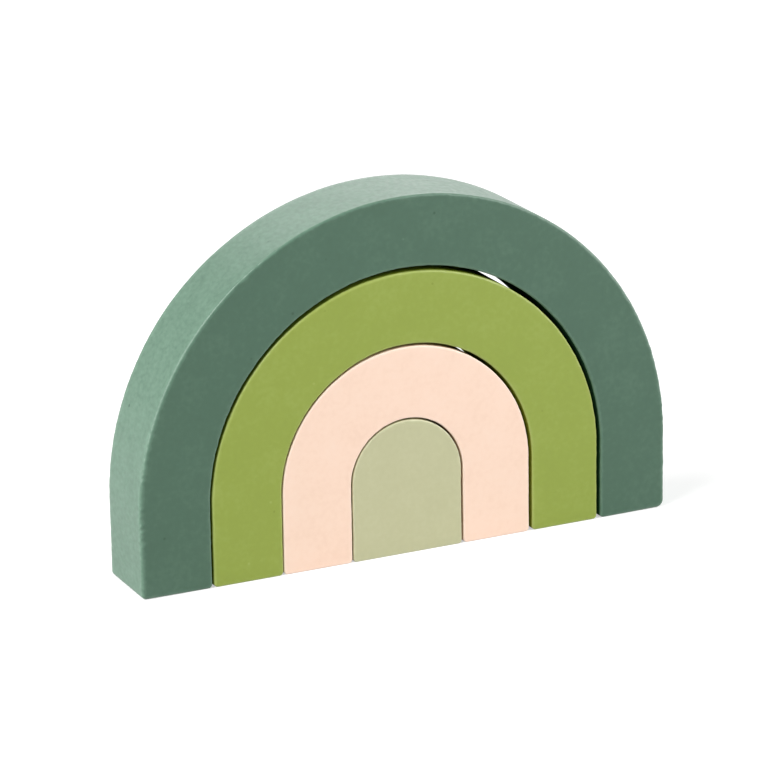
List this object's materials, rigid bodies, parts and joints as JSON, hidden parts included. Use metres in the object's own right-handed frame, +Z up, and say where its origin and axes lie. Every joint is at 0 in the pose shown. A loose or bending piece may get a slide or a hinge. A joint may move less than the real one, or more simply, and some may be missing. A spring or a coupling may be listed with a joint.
{
  "type": "rainbow stacker",
  "caption": "Wooden rainbow stacker: nested painted arches with straight legs round a solid arched core block, loose pieces that slide apart for stacking and sorting.",
  "frame": {"origin": "on the floor, midway between the outer arch's feet and midway through the board's depth", "axes": "+X along the width to the right, +Y from the front faces to the back faces, +Z up through the crown of the arches"},
  "size_m": [0.1404, 0.02, 0.0896],
  "materials": {
    "sea_green_paint": "satin water-based paint on sanded hardwood",
    "olive_paint": "satin water-based paint on sanded hardwood",
    "peach_paint": "satin water-based paint on sanded hardwood",
    "sage_paint": "satin water-based paint on sanded hardwood"
  },
  "bodies": {
    "outer_arch": {"outer_arch": "sea_green_paint"},
    "middle_arch": {"middle_arch": "olive_paint"},
    "inner_arch": {"inner_arch": "peach_paint"},
    "core_block": {"core_block": "sage_paint"}
  },
  "joints": [
    {"name": "middle_slide", "type": "slide", "parent": "outer_arch", "child": "middle_arch", "axis": [0, 1, 0], "range_m": [-0.03, 0.03]},
    {"name": "inner_slide", "type": "slide", "parent": "middle_arch", "child": "inner_arch", "axis": [0, 1, 0], "range_m": [-0.03, 0.03]},
    {"name": "core_slide", "type": "slide", "parent": "inner_arch", "child": "core_block", "axis": [0, 1, 0], "range_m": [-0.03, 0.03]}
  ]
}
